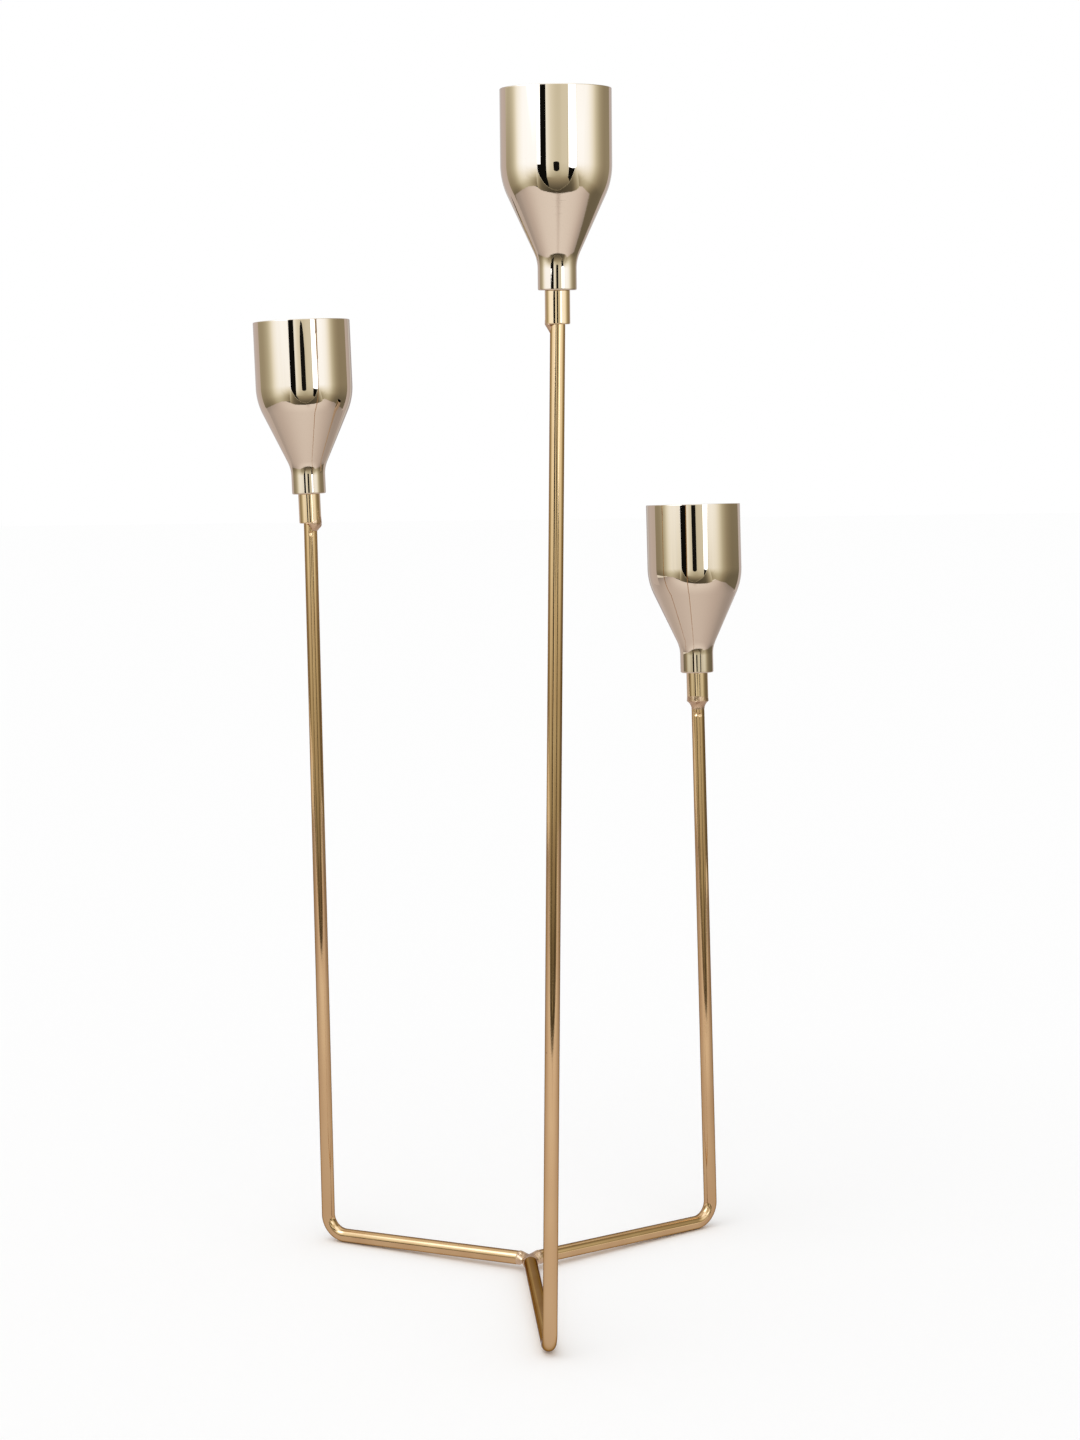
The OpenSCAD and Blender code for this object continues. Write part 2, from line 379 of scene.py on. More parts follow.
def side_light(bright, y, z, high_light):
    low_down = between([(LOW_Z, between(FRONT_LOW, y)), (FULL_Z, 1)], z)
    high_up = between([(HIGH_FROM, 1), (HIGH_TO, high_light)], z)
    return max(SIDE_DIMMEST, bright * between(SIDE_BY_HEIGHT, z) * low_down * high_up)


def tent_side(name, wall, edge, high_light):
    """A wall of cloth, with rows that lie closer together near its lower edge."""
    rows = []
    for i in range(SIDE_ROWS + 1):
        row = []
        for x, y, bright in wall:
            low = between(edge, y)
            z = low + (TENT_TOP - low) * (i / SIDE_ROWS) ** 2
            row.append((x, y, z, side_light(bright, y, z, high_light), None))
        rows.append(row)
    return card(name, rows)


def standing_card(name, x, half, y, low, bright, tint=None):
    """A plain card that stands up to the top of the tent."""
    return card(name, [
        [(x + d, y, z, bright, tint) for d in (-half, half)] for z in (low, TENT_TOP)
    ])


tent_side("tent_left", LEFT_WALL, LEFT_EDGE, high_light=2.5)
tent_side("tent_right", RIGHT_WALL, RIGHT_EDGE, high_light=0.8)
standing_card("left_pole", x=-0.468, half=0.005, y=-0.685, low=0.4, bright=0.9)
standing_card("right_pole", x=0.6, half=0.005, y=-0.76, low=0.4, bright=0.9)
standing_card("back_strip_left", x=-0.36, half=0.07, y=0.97, low=0.02, bright=0.72, tint=GREY)
standing_card("back_strip_right", x=0.36, half=0.07, y=0.97, low=0.02, bright=0.72, tint=GREY)
PAPER_WALL = [(-0.66, 0.32, 0.62), (-0.72, 0.8, 0.64), (-0.4, 1.0, 0.55), (0, 1.0, 0.45),
              (0.4, 1.0, 0.5), (0.72, 0.85, 0.62), (0.66, 0.62, 0.6)]
card("paper_back", [
    [(x, y, z, bright, PAPER) for x, y, bright in PAPER_WALL] for z in steps(0, TENT_TOP, 2)
])
print("tent sides reach", TENT_TOP, "m up")

# %% [markdown]
# ## The flap and the lamps
# The grey field in the middle of a cup is the cloth flap behind the camera, and the dark mark
# in it is the gap that the lens looks through. On both sides of the flap the tent is open,
# and a tall lamp shines in past it. One card with all of this drawn on it would be less work,
# but these things stand at different depths, so each cup mirrors them shifted in its own way,
# and that shift comes by itself when each has its own card.

# %% Hang the flap and stand the lamps behind it
FLAP_Y = -1.2
GAP_Y = -1.19
LAMP_Y = -1.5
LAMP_LIGHT = 2.8
FLAP_BY_HEIGHT = [(0, 0.45), (0.1, 0.6), (0.24, 0.75), (0.48, 0.86), (0.6, 0.84)]
FLAP_ACROSS = [(-0.4, 1.5), (-0.32, 1.42), (-0.24, 1.26), (-0.16, 1.13), (-0.08, 1.05),
               (0, 0.98), (0.08, 0.95), (0.16, 0.96), (0.24, 1.03), (0.47, 1.07),
               (0.482, 0.6), (0.495, 1.3), (0.525, 1.5)]
card("flap", [
    [(x, FLAP_Y, z, share * between(FLAP_BY_HEIGHT, z), None) for x, share in FLAP_ACROSS]
    for z in (0, 0.1, 0.17, 0.24, 0.36, 0.48, 0.6, TENT_TOP)
])
# The foot of the flap lies on the floor: depth, both edges and light
FLAP_FOOT_Z = 0.004
FLAP_FOOT = [(-0.59, -0.05, 0.1, 0.08), (-0.62, -0.12, 0.25, 0.1), (-0.68, -0.17, 0.37, 0.13),
             (-0.78, -0.21, 0.43, 0.19), (-0.95, -0.28, 0.47, 0.3), (-1.2, -0.41, 0.5, 0.45)]
card("flap_foot", [
    [(x, y, FLAP_FOOT_Z, bright, None) for x in (x0, x1)] for y, x0, x1, bright in FLAP_FOOT
])
# The gap at the lens: height and both edges
GAP_LIGHT = 0.01
LENS_GAP = [(0.205, 0, 0.03), (0.212, -0.04, 0.07), (0.23, -0.075, 0.105), (0.26, -0.095, 0.13),
            (0.3, -0.095, 0.13), (0.43, -0.105, 0.125), (0.466, -0.105, 0.12), (0.48, -0.08, 0.095),
            (0.489, -0.03, 0.05)]
card("lens_gap", [[(x, GAP_Y, z, GAP_LIGHT, GREY) for x in (x0, x1)] for z, x0, x1 in LENS_GAP])
standing_card("left_strip", x=-1.29, half=0.41, y=LAMP_Y, low=0.405, bright=LAMP_LIGHT)
RIGHT_LAMP = [(0.49, 0.36), (0.7, 0.28), (0.9, 0.235), (2.0, 0.2)]
card("right_strip", [
    [(x, LAMP_Y, low, LAMP_LIGHT, None) for x, low in RIGHT_LAMP],
    [(x, LAMP_Y, TENT_TOP, LAMP_LIGHT, None) for x, low in RIGHT_LAMP],
])
print("flap is", round(FLAP_ACROSS[-1][0] - FLAP_ACROSS[0][0], 3), "m wide, lamps glow at", LAMP_LIGHT)

# %% [markdown]
# ## The opening in front
# The dark U low down in each cup is the front of the tent, cut open for the camera. A skirt of
# cloth runs from the front edge of the table sheet up to the cut, a hem lies along the cut as
# a thin bright line, and the room outside is nearly black. The cut is one curve, so one list
# holds it, and the skirt and the hem both take their points from that list. The roof over the
# front half is mirrored only by faces that look up, such as the feet.

# %% Cut the opening
# The cut across the tent: place, height, and the light of the cloth there and at the table
OPENING = [(-0.472, 0.45, 1.5, 0.5), (-0.47, 0.37, 1.3, 0.45), (-0.445, 0.3, 0.85, 0.36),
           (-0.4, 0.24, 0.5, 0.26), (-0.362, 0.2, 0.3, 0.2), (-0.325, 0.16, 0.2, 0.17),
           (-0.28, 0.12, 0.17, 0.14), (-0.235, 0.09, 0.15, 0.12), (-0.18, 0.06, 0.12, 0.1),
           (-0.12, 0.032, 0.1, 0.09), (-0.06, 0.014, 0.09, 0.08), (0.03, 0.006, 0.08, 0.08),
           (0.09, 0.02, 0.08, 0.09), (0.16, 0.045, 0.09, 0.1), (0.28, 0.09, 0.12, 0.11),
           (0.36, 0.137, 0.16, 0.12), (0.42, 0.19, 0.24, 0.2), (0.5, 0.27, 0.55, 0.36),
           (0.57, 0.34, 1.0, 0.5), (0.61, 0.4, 1.3, 0.6)]
CLOTH_Y = -0.6
LEAN_LEFT = 0.2
LEAN_RIGHT = 0.6
SKIRT_Z = 0.002
HEM_WIDTH = 0.008
HEM_OUT = 0.004
HEM_PINCH = 0.03


def opening_y(x, z):
    """The front cloth leans forward as it rises, more on the right side."""
    start = CLOTH_Y + 0.2 * min(0.1, max(0, x))
    return start - z * (LEAN_LEFT if x < 0 else LEAN_RIGHT * min(1, 8 * x))


def skirt_middle(x, z, edge, low):
    """Half way up the skirt, where the cloth is a little dimmer than the mean of its ends."""
    y = (between(TABLE_FRONT, x) + opening_y(x, z)) / 2
    return x, y, z / 2, (low + edge) / 2.2, None


def hem_point(x, z, edge, over):
    """A point of the hem, on the cut where over is 0 and just above it where it is 1."""
    light = 0.25 + 1.25 * edge
    return x * (1 - HEM_PINCH * over), opening_y(x, z) - HEM_OUT, z + HEM_WIDTH * over, light, None


card("skirt", [
    [(x, between(TABLE_FRONT, x), SKIRT_Z, low, None) for x, z, edge, low in OPENING],
    [skirt_middle(*point) for point in OPENING],
    [(x, opening_y(x, z), z, edge, None) for x, z, edge, low in OPENING],
])
card("hem", [[hem_point(x, z, edge, over) for x, z, edge, low in OPENING] for over in (0, 1)])
print("the opening is cut at", len(OPENING), "points")

# %% Close the roof and darken the room
ROOF_LIGHT = 1.9
ROOF_HALF = 0.5
ROOF_DEPTH = (-1.15, -0.1)
ROOM_LIGHT = 0.006
ROOM_HALF = 2.8
# The room's floor from the table's edge to the back wall, and that wall: depth and height
ROOM_LINE = [(-0.572, 0.002), (-1.9, 0.002), (-1.9, TENT_TOP)]
card("tent_roof", [
    [(x, y, TENT_TOP, ROOF_LIGHT, None) for x in (-ROOF_HALF, ROOF_HALF)] for y in ROOF_DEPTH
])
card("dark_room", [
    [(x, y, z, ROOM_LIGHT, GREY) for x in (-ROOM_HALF, ROOM_HALF)] for y, z in ROOM_LINE
])
print("roof light", ROOF_LIGHT, "and room light", ROOM_LIGHT)

# %% [markdown]
# ## Turned shapes
# Cups, couplings, studs and nuts are made on a lathe, so one outline turned round an axis gives
# all of them. A Screw modifier could do it, but mesh code can also store on every vertex where
# it lies on the outline, and the finishes use that to draw the fine lines that a tool leaves.
# A mirror finish shows every error in the shading, so each straight run of an outline gets an
# extra ring close to its ends, which keeps the rounding of an edge out of the flat beside it.


# %% Outlines
SAME_SPOT = 2e-7
HOLD = 0.15 * MM


def straight(a, b):
    """Points of a straight run, with a holding ring near each end."""
    a, b = Vector(a), Vector(b)
    way = (b - a).normalized() * min(HOLD, (b - a).length / 3)
    return [a, a + way, b - way, b]


def arc(centre, radius, start, end, count):
    """Points of an arc, angles in degrees, 0 along the radius and 90 up the axis."""
    bearings = [math.radians(t) for t in steps(start, end, count)]
    return [Vector((centre[0] + radius * math.cos(t), centre[1] + radius * math.sin(t)))
            for t in bearings]


def outline(*runs):
    """Joins runs into one outline and drops points that repeat."""
    joined = []
    for run in runs:
        for point in run:
            if not joined or (point - joined[-1]).length > SAME_SPOT:
                joined.append(point)
    if (joined[0] - joined[-1]).length < SAME_SPOT:
        joined.pop()
    return joined


print("flats are held", HOLD / MM, "mm from each edge")


# %% The lathe, and the last steps of every piece
def finish_piece(made, body, stands_for, sharp):
    """Smooth shading, then the body and the CAD node that the piece stands for."""
    made.data.shade_smooth()
    made.data.set_sharp_from_angle(angle=math.radians(sharp))
    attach(made, body)
    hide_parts(stands_for)
    return made


def angles(around):
    return [2 * math.pi * j / around for j in range(around)]


def grid_faces(rings, around, closed_rings):
    """Faces between rings of vertices. The last ring joins the first if closed_rings is set."""
    faces = []
    last = rings if closed_rings else rings - 1
    for i in range(last):
        a, b = i * around, (i + 1) % rings * around
        for j in range(around):
            k = (j + 1) % around
            faces.append((a + j, a + k, b + k, b + j))
    return faces


def close_end(verts, faces, first, around, middle, turned_over):
    """Closes a ring of vertices with a fan round a new one in its middle."""
    hub = len(verts)
    verts.append(middle)
    for j in range(around):
        a, b = first + j, first + (j + 1) % around
        faces.append((b, a, hub) if turned_over else (a, b, hub))


def store(made, name, kind, values):
    """Stores one value or vector per vertex, for the material to read."""
    layer = made.data.attributes.new(name, kind, "POINT")
    layer.data.foreach_set("vector" if kind == "FLOAT_VECTOR" else "value", values)


def lathe(name, points, place, around, material, marks=()):
    """Turns a closed outline of (radius, height) points round the Z axis of place."""
    verts, where, along = [], [], 0.0
    for i, point in enumerate(points):
        along += (point - points[i - 1]).length if i else 0.0
        for t in angles(around):
            verts.append(place @ Vector((point.x * math.cos(t), point.x * math.sin(t), point.y)))
            where.extend((math.cos(t), math.sin(t), along))
    made = new_object(name, verts, grid_faces(len(points), around, True), material)
    store(made, "turned", "FLOAT_VECTOR", where)
    for mark, rule in marks:
        store(made, mark, "FLOAT", [rule(p) for p in points for _ in range(around)])
    return made


print("two rings of 4 points join with", len(grid_faces(2, 4, False)), "faces")

# %% [markdown]
# ## Finishes as node groups
# The same few effects make up every finish on the stand: the lines that a tool draws round or
# along a piece, the slow change of tone in a thin plating, the haze that hands and cloths
# leave, and small pits under the plating. Each is a node group with its own values, built once,
# so a material only picks the strength of each. The shader stays in the material.


# %% Group: lines left by a tool
def new_group(name, inputs, outputs):
    tree = bpy.data.node_groups.new(name, "ShaderNodeTree")
    for label, value in inputs:
        kind = "NodeSocketColor" if isinstance(value, tuple) else "NodeSocketFloat"
        socket = tree.interface.new_socket(name=label, in_out="INPUT", socket_type=kind)
        socket.default_value = value
    for label, kind in outputs:
        tree.interface.new_socket(name=label, in_out="OUTPUT", socket_type=kind)
    return tree, tree.nodes.new("NodeGroupInput"), tree.nodes.new("NodeGroupOutput")


def node(tree, kind, **values):
    made = tree.nodes.new("ShaderNode" + kind)
    for name, value in values.items():
        setattr(made, name, value)
    return made


lines_group, inlet, outlet = new_group(
    "Tool lines", [("Around", 1.0), ("Along", 4000.0)], [("Lines", "NodeSocketFloat")])
turned_at = node(lines_group, "Attribute", attribute_name="turned")
spread = node(lines_group, "CombineXYZ")
for axis, label in (("X", "Around"), ("Y", "Around"), ("Z", "Along")):
    link(inlet.outputs[label], spread.inputs[axis])
stretch = node(lines_group, "VectorMath", operation="MULTIPLY")
link(turned_at.outputs["Vector"], stretch.inputs[0])
link(spread.outputs["Vector"], stretch.inputs[1])
line_noise = dial(node(lines_group, "TexNoise"), Scale=1.0, Detail=3.0, Roughness=0.6)
link(stretch.outputs["Vector"], line_noise.inputs["Vector"])
link(line_noise.outputs["Fac"], outlet.inputs["Lines"])
print("made group", lines_group.name)


# %% Noise, ramps and sums that the effects share
def object_noise(scale_socket, detail, stretch_z):
    """Noise in the piece's own coordinates, so it stays on the piece when the piece moves."""
    tree = scale_socket.id_data
    place = node(tree, "TexCoord")
    squeeze = dial(node(tree, "Mapping"), Scale=(1, 1, stretch_z))
    made = dial(node(tree, "TexNoise"), Detail=detail)
    link(place.outputs["Object"], squeeze.inputs["Vector"])
    link(squeeze.outputs["Vector"], made.inputs["Vector"])
    link(scale_socket, made.inputs["Scale"])
    return made.outputs["Fac"]


def ramp(value, low, high):
    """Turns the part of a value between low and high into 0 to 1."""
    made = dial(node(value.id_data, "MapRange"), From_Min=low, From_Max=high)
    link(value, made.inputs["Value"])
    return made.outputs["Result"]


def product(a, b):
    """Multiplies a socket by a socket or by a number."""
    made = node(a.id_data, "Math", operation="MULTIPLY")
    link(a, made.inputs[0])
    if isinstance(b, (int, float)):
        made.inputs[1].default_value = b
    else:
        link(b, made.inputs[1])
    return made.outputs[0]


def total(a, b):
    made = node(a.id_data, "Math", operation="ADD")
    link(a, made.inputs[0])
    link(b, made.inputs[1])
    return made.outputs[0]


print("noise, ramp, product and total are ready for the groups")

# %% Groups: plating tone and haze
tone_group, inlet, outlet = new_group(
    "Plating tone",
    [("Thick", (0.7, 0.585, 0.44, 1)), ("Thin", (0.66, 0.54, 0.4, 1)), ("Patches", 40.0)],
    [("Color", "NodeSocketColor"), ("Thinness", "NodeSocketFloat")])
thin = ramp(object_noise(inlet.outputs["Patches"], 2.0, 0.4), 0.35, 0.7)
blend = node(tone_group, "Mix", data_type="RGBA")
link(thin, blend.inputs["Factor"])
link(inlet.outputs["Thick"], blend.inputs["A"])
link(inlet.outputs["Thin"], blend.inputs["B"])
link(blend.outputs["Result"], outlet.inputs["Color"])
link(thin, outlet.inputs["Thinness"])

haze_group, inlet, outlet = new_group(
    "Handling haze", [("Clean", 0.03), ("Hazy", 0.08), ("Smears", 90.0)],
    [("Roughness", "NodeSocketFloat")])
smear = ramp(object_noise(inlet.outputs["Smears"], 4.0, 0.6), 0.45, 0.75)
haze_mix = node(haze_group, "Mix", data_type="FLOAT")
link(smear, haze_mix.inputs["Factor"])
link(inlet.outputs["Clean"], haze_mix.inputs["A"])
link(inlet.outputs["Hazy"], haze_mix.inputs["B"])
link(haze_mix.outputs["Result"], outlet.inputs["Roughness"])
print("made groups", tone_group.name, "and", haze_group.name)

# %% Group: pits under the plating
pits_group, inlet, outlet = new_group(
    "Plating pits", [("Spacing", 260.0), ("Size", 0.08)],
    [("Pit", "NodeSocketFloat"), ("Height", "NodeSocketFloat")])
pit_place = node(pits_group, "TexCoord")
pit_cells = node(pits_group, "TexVoronoi")
link(pit_place.outputs["Object"], pit_cells.inputs["Vector"])
link(inlet.outputs["Spacing"], pit_cells.inputs["Scale"])
pit_edge = dial(node(pits_group, "MapRange"), From_Min=0.0, To_Min=1.0, To_Max=0.0)
link(pit_cells.outputs["Distance"], pit_edge.inputs["Value"])
link(inlet.outputs["Size"], pit_edge.inputs["From Max"])
cells_with_pits = ramp(pit_cells.outputs["Color"], 0.62, 0.66)
pit = product(pit_edge.outputs["Result"], cells_with_pits)
link(pit, outlet.inputs["Pit"])
link(product(pit, -1.0), outlet.inputs["Height"])
print("made group", pits_group.name)

# %% [markdown]
# ## Metals
# The cups are mirror bright with a pale champagne tone. Their cones keep the fine rings of the
# spinning tool, which draw the reflections out into a soft vertical sheen, so the same lines
# are strong on the cone and almost gone on the straight wall. The bars and couplings are a
# warmer brass tone, with lines drawn along the bar. The welds were plated over raw weld metal
# and stay dull and pinkish, and the hidden stud and nut are plain zinc. Every one of them is
# metal with its own tone and haze, so one helper starts them all, and each adds what is its own.


# %% Start a metal, and paint shade into its pits
def use_group(tree, group, **values):
    made = tree.nodes.new("ShaderNodeGroup")
    made.node_tree = group
    return dial(made, **values)


def new_metal(name, thick, thin, patches, clean, hazy, smears):
    """Thick and thin are the plating's colours, clean and hazy its roughness."""
    metal, tree, shader = new_material(name)
    dial(shader, Metallic=1.0)
    tone = use_group(tree, tone_group, Thick=(*thick, 1), Thin=(*thin, 1), Patches=patches)
    haze = use_group(tree, haze_group, Clean=clean, Hazy=hazy, Smears=smears)
    return metal, tree, shader, tone, haze.outputs["Roughness"]


def colour_with_pit_shade(shader, tone, pits, shade):
    """The plating's tone, with a dark colour mixed in where a pit is: painted shade in the pit."""
    mixed = node(shader.id_data, "Mix", data_type="RGBA")
    link(pits.outputs["Pit"], mixed.inputs["Factor"])
    link(tone.outputs["Color"], mixed.inputs["A"])
    mixed.inputs["B"].default_value = (*shade, 1)
    link(mixed.outputs["Result"], shader.inputs["Base Color"])


def bump(shader, height, strength, distance):
    made = dial(node(shader.id_data, "Bump"), Strength=strength, Distance=distance)
    link(height, made.inputs["Height"])
    link(made.outputs["Normal"], shader.inputs["Normal"])


print("metals start from", tone_group.name, "and", haze_group.name)

# %% Champagne plating of the cups
RING_HAZE = 0.16
SCORE_DEPTH = 1.6
cup_brass, tree, shader, tone, haze = new_metal(
    "cup_brass_polished", thick=(0.71, 0.595, 0.45), thin=(0.69, 0.57, 0.425), patches=28.0,
    clean=0.01, hazy=0.025, smears=70.0)
rings = use_group(tree, lines_group, Around=0.7, Along=5200.0)
scores = use_group(tree, lines_group, Around=1.6, Along=2600.0)
pits = use_group(tree, pits_group, Spacing=150.0, Size=0.03)
tooled = node(tree, "Attribute", attribute_name="tooled").outputs["Fac"]
# The dark colour in each pit of the cups is painted shade.
colour_with_pit_shade(shader, tone, pits, (0.25, 0.19, 0.12))
ring_rough = product(product(rings.outputs["Lines"], tooled), RING_HAZE)
link(total(haze, ring_rough), shader.inputs["Roughness"])
score_height = product(ramp(scores.outputs["Lines"], 0.5, 0.72), SCORE_DEPTH)
ring_height = product(total(rings.outputs["Lines"], score_height), tooled)
bump(shader, total(ring_height, pits.outputs["Height"]), 0.5, 0.004 * MM)
print("made", cup_brass.name)

# %% Warm plating of the bars and couplings
bar_brass, tree, shader, tone, haze = new_metal(
    "bar_brass_drawn", thick=(0.67, 0.46, 0.238), thin=(0.61, 0.398, 0.202), patches=55.0,
    clean=0.045, hazy=0.1, smears=120.0)
dial(shader, Specular_Tint=(0.3, 0.22, 0.16, 1))
drawn = use_group(tree, lines_group, Around=9.0, Along=45.0).outputs["Lines"]
pits = use_group(tree, pits_group, Spacing=170.0, Size=0.07)
# The dark colour in each pit of the bars is painted shade.
colour_with_pit_shade(shader, tone, pits, (0.16, 0.1, 0.06))
link(total(haze, product(drawn, 0.04)), shader.inputs["Roughness"])
bump(shader, total(drawn, pits.outputs["Height"]), 0.3, 0.007 * MM)

collar_brass, tree, shader, tone, haze = new_metal(
    "collar_brass_turned", thick=(0.74, 0.56, 0.34), thin=(0.7, 0.51, 0.3), patches=80.0,
    clean=0.025, hazy=0.06, smears=200.0)
rings = use_group(tree, lines_group, Around=0.8, Along=6000.0).outputs["Lines"]
link(tone.outputs["Color"], shader.inputs["Base Color"])
link(total(haze, product(rings, 0.05)), shader.inputs["Roughness"])
bump(shader, rings, 0.3, 0.003 * MM)
print("made", bar_brass.name, "and", collar_brass.name)

# %% Weld metal under plating, and zinc
weld_metal, tree, shader, tone, haze = new_metal(
    "weld_metal_plated", thick=(0.64, 0.455, 0.285), thin=(0.54, 0.365, 0.225), patches=650.0,
    clean=0.2, hazy=0.42, smears=900.0)
pits = use_group(tree, pits_group, Spacing=900.0, Size=0.3)
# The dark colour in each pit of the welds is painted shade.
colour_with_pit_shade(shader, tone, pits, (0.14, 0.08, 0.05))
link(haze, shader.inputs["Roughness"])
bump(shader, total(tone.outputs["Thinness"], pits.outputs["Height"]), 0.5, 0.04 * MM)

zinc, tree, shader, tone, haze = new_metal(
    "fastener_zinc", thick=(0.66, 0.66, 0.64), thin=(0.5, 0.5, 0.49), patches=300.0,
    clean=0.22, hazy=0.4, smears=600.0)
link(tone.outputs["Color"], shader.inputs["Base Color"])
link(haze, shader.inputs["Roughness"])
print("made", weld_metal.name, "and", zinc.name)

# %% [markdown]
# ## The candle cups
# A cup is one thin sheet, spun over a former: straight wall, round shoulder, cone, throat and
# a short neck with a flat floor. Its outline runs up the outside, over a rounded lip and back
# down the inside at an even thickness, and is turned in 192 steps, so that the edges of the
# reflections stay smooth. The mark called tooled says how much of the spinning lines is left:
# all of them on the cone, hardly any on the wall.

# %% Turn the cups
CUP_R = 22 * MM
WALL = 1 * MM
NECK_R = 7.7 * MM
NECK_H = 11.8 * MM
CONE_H = 31 * MM
CUP_H = 78.8 * MM
SHOULDER_R = 29 * MM
THROAT_R = 15 * MM
NECK_EDGE = 0.6 * MM
FLOOR_HOLE_R = 2.9 * MM
LIP_EDGE = 0.3 * MM
CUP_AROUND = 192

cone = math.degrees(math.atan2(CUP_R - NECK_R, CONE_H))
half_cone = math.tan(math.radians(cone / 2))
shoulder_z = NECK_H + CONE_H + SHOULDER_R * half_cone
throat_z = NECK_H - THROAT_R * half_cone
throat_at = (NECK_R + THROAT_R, throat_z)
shoulder_at = (CUP_R - SHOULDER_R, shoulder_z)

outer_throat = arc(throat_at, THROAT_R, 180, 180 - cone, 20)
outer_shoulder = arc(shoulder_at, SHOULDER_R, -cone, 0, 36)
inner_shoulder = arc(shoulder_at, SHOULDER_R - WALL, 0, -cone, 24)
inner_throat = arc(throat_at, THROAT_R + WALL, 180 - cone, 180, 16)
lip_out = arc((CUP_R - LIP_EDGE, CUP_H - LIP_EDGE), LIP_EDGE, 0, 90, 5)
lip_in = arc((CUP_R - WALL + LIP_EDGE, CUP_H - LIP_EDGE), LIP_EDGE, 90, 180, 5)
neck_edge = arc((NECK_R - NECK_EDGE, NECK_EDGE), NECK_EDGE, -90, 0, 6)
cup_outline = outline(
    straight((FLOOR_HOLE_R, 0), neck_edge[0]), neck_edge,
    straight(neck_edge[-1], outer_throat[0]), outer_throat,
    straight(outer_throat[-1], outer_shoulder[0]), outer_shoulder,
    straight(outer_shoulder[-1], lip_out[0]), lip_out,
    straight(lip_out[-1], lip_in[0]), lip_in,
    straight(lip_in[-1], inner_shoulder[0]), inner_shoulder,
    straight(inner_shoulder[-1], inner_throat[0]), inner_throat,
    straight(inner_throat[-1], (NECK_R - WALL, WALL)),
    straight((NECK_R - WALL, WALL), (FLOOR_HOLE_R, WALL)),
    straight((FLOOR_HOLE_R, WALL), (FLOOR_HOLE_R, 0)),
)
TOOLED = [(0, 0.12), (throat_z, 0.15), (NECK_H, 0.8), (NECK_H + 0.6 * CONE_H, 0.8),
          (NECK_H + 0.8 * CONE_H, 0.35), (shoulder_z, 0.02), (CUP_H, 0.01)]

for name, arm in arms.items():
    cup = lathe(name + "_candle_cup", cup_outline, arm.seat, CUP_AROUND, cup_brass,
                [("tooled", lambda p: between(TOOLED, p.y))])
    finish_piece(cup, name + "_cup", name + "_cup", sharp=50)
print("cup outline has", len(cup_outline), "points, cone angle", round(cone, 2))

# %% [markdown]
# ## Couplings, studs and nuts
# The coupling is a short turned rod with a socket for the bar and a tapped hole for the stud.
# The stud shows only when a cup is unscrewed, and then its thread is what one sees, so the
# thread is a real helix: the surface's radius depends on height and angle together, which
# closes by itself at every turn. The nut is a hexagon whose corners a cone has cut back.

# %% Turn the couplings
STUD_R = 2.5 * MM
TAPPED_R = 2.55 * MM
SOCKET_R = 3.15 * MM
COLLAR_EDGE = 0.5 * MM
TOP_EDGE = 0.2 * MM
COLLAR_AROUND = 96

collar_foot = arc((COLLAR_R - COLLAR_EDGE, COLLAR_EDGE), COLLAR_EDGE, -90, 0, 6)
collar_top = arc((COLLAR_R - TOP_EDGE, COLLAR_H - TOP_EDGE), TOP_EDGE, 0, 90, 4)
collar_outline = outline(
    straight((SOCKET_R, 0), collar_foot[0]), collar_foot,
    straight(collar_foot[-1], collar_top[0]), collar_top,
    straight(collar_top[-1], (TAPPED_R, COLLAR_H)),
    straight((TAPPED_R, COLLAR_H), (TAPPED_R, SOCKET_H)),
    straight((TAPPED_R, SOCKET_H), (SOCKET_R, SOCKET_H)),
    straight((SOCKET_R, SOCKET_H), (SOCKET_R, 0)),
)
for name, arm in arms.items():
    collar = lathe(name + "_coupling", collar_outline, arm.head, COLLAR_AROUND,
                   collar_brass)
    finish_piece(collar, "frame", name + "_collar", sharp=50)
print("coupling outline has", len(collar_outline), "points")

# %% Cut the threads and the nuts
PITCH_M5 = 0.8 * MM
THREAD_DEPTH = 0.46 * MM
STUD_LOW = -9 * MM
STUD_HIGH = 6 * MM
STUD_CHAMFER = 0.5 * MM
GROOVE_HALF = 0.42
GROOVE_FLAT = 1.2
NUT_LOW = 1 * MM
NUT_H = 4 * MM
NUT_FLAT = 4 * MM
NUT_MOUTH_R = 2.95 * MM
NUT_MOUTH_H = 0.4 * MM
NUT_AROUND = 96
STUD_AROUND = 40
ROWS_A_TURN = 10


def thread_radius(z, t):
    """Radius of a V thread with flat crests, run out to a plain chamfer at both ends."""
    phase = (z / PITCH_M5 - t / (2 * math.pi)) % 1.0
    groove = max(0.0, 1 - abs(phase - 0.5) / GROOVE_HALF)
    end = min(z - STUD_LOW, STUD_HIGH - z)
    crest = STUD_R - max(0.0, STUD_CHAMFER - end)
    return min(crest, STUD_R - THREAD_DEPTH * min(1.0, GROOVE_FLAT * groove))


def stud_mesh(name, place):
    count = round((STUD_HIGH - STUD_LOW) / PITCH_M5 * ROWS_A_TURN)
    heights = steps(STUD_LOW, STUD_HIGH, count)
    verts, where = [], []
    for z in heights:
        for t in angles(STUD_AROUND):
            r = thread_radius(z, t)
            verts.append(place @ Vector((r * math.cos(t), r * math.sin(t), z)))
            where.extend((math.cos(t), math.sin(t), z))
    faces = grid_faces(len(heights), STUD_AROUND, False)
    for z, first in ((STUD_LOW, 0), (STUD_HIGH, (len(heights) - 1) * STUD_AROUND)):
        close_end(verts, faces, first, STUD_AROUND, place @ Vector((0, 0, z)), z == STUD_LOW)
        where.extend((0, 0, z))
    made = new_object(name, verts, faces, zinc)
    store(made, "turned", "FLOAT_VECTOR", where)
    return made


